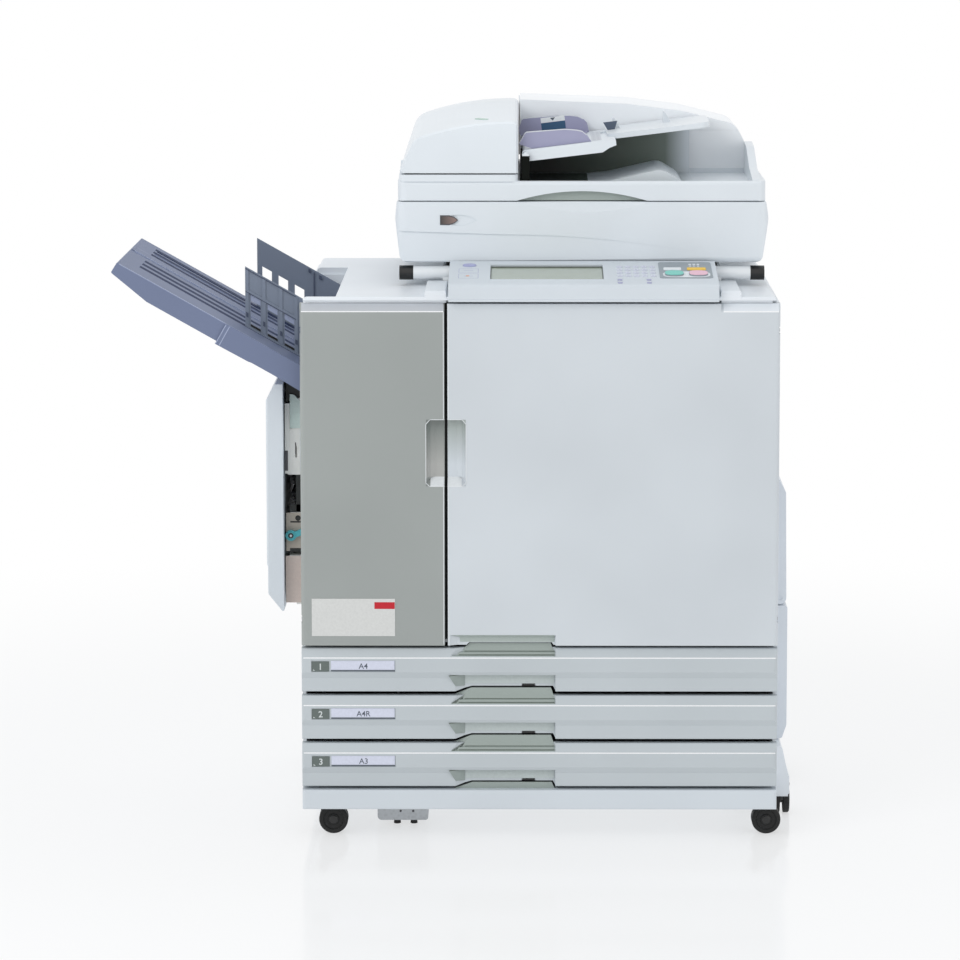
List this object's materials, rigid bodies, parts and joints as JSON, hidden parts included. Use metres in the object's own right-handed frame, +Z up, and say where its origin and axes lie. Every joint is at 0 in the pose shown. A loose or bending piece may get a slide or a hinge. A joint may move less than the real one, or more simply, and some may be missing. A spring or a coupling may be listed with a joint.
{
  "type": "production inkjet printer",
  "caption": "Floor-standing sheet-fed inkjet printer on castors, with paper drawers, front doors, a sloping output tray and a document scanner on a tube stand.",
  "frame": {"origin": "on the floor under the centre of the cabinet", "axes": "+Z up, -Y towards the front with the doors and drawers, +X to the right as seen from the front"},
  "size_m": [1.1656, 0.703, 1.2405],
  "materials": {
    "white_plastic": "satin moulded",
    "door_grey": "satin moulded",
    "tray_blue_grey": "matt moulded",
    "black_plastic": "satin",
    "sheet_steel": "zinc-plated",
    "lcd": "glossy",
    "keys": "matt",
    "lavender_plastic": "matt moulded",
    "teal_plastic": "satin",
    "platen": "clear",
    "rubber": "matt"
  },
  "bodies": {
    "cabinet": {"base_frame": "white_plastic", "left_panel": "white_plastic", "right_panel": "white_plastic", "rear_panel": "white_plastic", "bay_shelf": "sheet_steel", "tray_rails": "sheet_steel", "inner_fascia": "white_plastic", "front_posts": "sheet_steel", "ink_cartridges": "black_plastic", "door_hinges": "sheet_steel", "top_cover": "white_plastic", "exit_housing": "white_plastic", "control_panel": "white_plastic", "lcd_screen": "lcd", "panel_keys": "keys", "stand_frame": "white_plastic", "stand_caps": "black_plastic", "scanner_base": "white_plastic", "platen_glass": "platen", "scanner_feet": "rubber", "output_tray": "tray_blue_grey", "output_bracket": "tray_blue_grey", "side_unit": "sheet_steel", "side_lever": "teal_plastic", "feed_housing": "white_plastic", "outrigger": "white_plastic", "lock_bracket": "sheet_steel", "rubber_feet": "rubber", "scanner_lamp": "sheet_steel"},
    "left_door": {"left_door_panel": "door_grey"},
    "right_door": {"right_door_panel": "white_plastic"},
    "drawer_1": {"tray_front_1": "white_plastic", "tray_box_1": "sheet_steel"},
    "drawer_2": {"tray_front_2": "white_plastic", "tray_box_2": "sheet_steel"},
    "drawer_3": {"tray_front_3": "white_plastic", "tray_box_3": "sheet_steel"},
    "lid": {"lid_base": "white_plastic", "adf_ridge": "white_plastic", "adf_mechanism": "sheet_steel"},
    "feeder_cover": {"adf_cover": "white_plastic"},
    "document_tray": {"document_tray": "white_plastic"},
    "guide_front": {"guide_front": "lavender_plastic"},
    "guide_rear": {"guide_rear": "lavender_plastic"},
    "fence_front": {"fence_front": "tray_blue_grey"},
    "fence_rear": {"fence_rear": "tray_blue_grey"},
    "side_cover": {"side_cover": "white_plastic"},
    "feed_tray": {"feed_tray": "white_plastic"},
    "castor_1": {"castor_fork_1": "black_plastic"},
    "wheels_1": {"castor_wheels_1": "rubber"},
    "castor_2": {"castor_fork_2": "black_plastic"},
    "wheels_2": {"castor_wheels_2": "rubber"},
    "castor_3": {"castor_fork_3": "black_plastic"},
    "wheels_3": {"castor_wheels_3": "rubber"},
    "castor_4": {"castor_fork_4": "black_plastic"},
    "wheels_4": {"castor_wheels_4": "rubber"},
    "castor_5": {"castor_fork_5": "black_plastic"},
    "wheels_5": {"castor_wheels_5": "rubber"},
    "castor_6": {"castor_fork_6": "black_plastic"},
    "wheels_6": {"castor_wheels_6": "rubber"}
  },
  "joints": [
    {"name": "left_door_hinge", "type": "hinge", "parent": "cabinet", "child": "left_door", "pos_m": [-0.398, -0.308, 0.63225], "axis": [0, 0, -1], "range_deg": [0, 100]},
    {"name": "right_door_hinge", "type": "hinge", "parent": "cabinet", "child": "right_door", "pos_m": [0.398, -0.308, 0.63225], "axis": [0, 0, 1], "range_deg": [0, 100]},
    {"name": "drawer_1_slide", "type": "slide", "parent": "cabinet", "child": "drawer_1", "axis": [0, -1, 0], "range_m": [0, 0.4]},
    {"name": "drawer_2_slide", "type": "slide", "parent": "cabinet", "child": "drawer_2", "axis": [0, -1, 0], "range_m": [0, 0.4]},
    {"name": "drawer_3_slide", "type": "slide", "parent": "cabinet", "child": "drawer_3", "axis": [0, -1, 0], "range_m": [0, 0.4]},
    {"name": "lid_hinge", "type": "hinge", "parent": "cabinet", "child": "lid", "pos_m": [0.073, 0.359, 1.095], "axis": [-1, 0, 0], "range_deg": [0, 65]},
    {"name": "feeder_cover_hinge", "type": "hinge", "parent": "lid", "child": "feeder_cover", "pos_m": [-0.2355, 0.096, 1.1385], "axis": [0, -1, 0], "range_deg": [0, 60]},
    {"name": "document_tray_hinge", "type": "hinge", "parent": "lid", "child": "document_tray", "pos_m": [-0.024, 0.0005, 1.1635], "axis": [0, -1, 0], "range_deg": [0, 15]},
    {"name": "document_guide_slide", "type": "slide", "parent": "document_tray", "child": "guide_front", "axis": [0, 1, 0], "range_m": [0, 0.06]},
    {"name": "document_guide_follow", "type": "slide", "parent": "document_tray", "child": "guide_rear", "axis": [0, 1, 0], "range_m": [-0.06, 0]},
    {"name": "fence_slide", "type": "slide", "parent": "cabinet", "child": "fence_front", "axis": [0, 1, 0], "range_m": [0, 0.06]},
    {"name": "fence_follow", "type": "slide", "parent": "cabinet", "child": "fence_rear", "axis": [0, 1, 0], "range_m": [-0.06, 0]},
    {"name": "side_cover_hinge", "type": "hinge", "parent": "cabinet", "child": "side_cover", "pos_m": [-0.4535, 0.152, 0.5805], "axis": [0, 0, -1], "range_deg": [0, 80]},
    {"name": "feed_tray_hinge", "type": "hinge", "parent": "cabinet", "child": "feed_tray", "pos_m": [0.418, 0.03, 0.394], "axis": [0, 1, 0], "range_deg": [0, 75]},
    {"name": "castor_1_swivel", "type": "hinge", "parent": "cabinet", "child": "castor_1", "pos_m": [-0.3725, -0.257, 0.077], "axis": [0, 0, 1], "continuous": true},
    {"name": "castor_1_roll", "type": "hinge", "parent": "castor_1", "child": "wheels_1", "pos_m": [-0.3545, -0.257, 0.025], "axis": [0, 1, 0], "continuous": true},
    {"name": "castor_2_swivel", "type": "hinge", "parent": "cabinet", "child": "castor_2", "pos_m": [0.3725, -0.257, 0.077], "axis": [0, 0, 1], "continuous": true},
    {"name": "castor_2_roll", "type": "hinge", "parent": "castor_2", "child": "wheels_2", "pos_m": [0.3905, -0.257, 0.025], "axis": [0, 1, 0], "continuous": true},
    {"name": "castor_3_swivel", "type": "hinge", "parent": "cabinet", "child": "castor_3", "pos_m": [0.3725, 0.257, 0.077], "axis": [0, 0, 1], "continuous": true},
    {"name": "castor_3_roll", "type": "hinge", "parent": "castor_3", "child": "wheels_3", "pos_m": [0.3905, 0.257, 0.025], "axis": [0, 1, 0], "continuous": true},
    {"name": "castor_4_swivel", "type": "hinge", "parent": "cabinet", "child": "castor_4", "pos_m": [-0.3725, 0.257, 0.077], "axis": [0, 0, 1], "continuous": true},
    {"name": "castor_4_roll", "type": "hinge", "parent": "castor_4", "child": "wheels_4", "pos_m": [-0.3545, 0.257, 0.025], "axis": [0, 1, 0], "continuous": true},
    {"name": "castor_5_swivel", "type": "hinge", "parent": "cabinet", "child": "castor_5", "pos_m": [0.426, -0.134, 0.059], "axis": [0, 0, 1], "continuous": true},
    {"name": "castor_5_roll", "type": "hinge", "parent": "castor_5", "child": "wheels_5", "pos_m": [0.426, -0.116, 0.025], "axis": [1, 0, 0], "continuous": true},
    {"name": "castor_6_swivel", "type": "hinge", "parent": "cabinet", "child": "castor_6", "pos_m": [0.426, 0.134, 0.059], "axis": [0, 0, 1], "continuous": true},
    {"name": "castor_6_roll", "type": "hinge", "parent": "castor_6", "child": "wheels_6", "pos_m": [0.426, 0.152, 0.025], "axis": [1, 0, 0], "continuous": true}
  ],
  "couplings": [
    {"joint": "document_guide_follow", "follows": "document_guide_slide", "ratio": -1},
    {"joint": "fence_follow", "follows": "fence_slide", "ratio": -1}
  ]
}
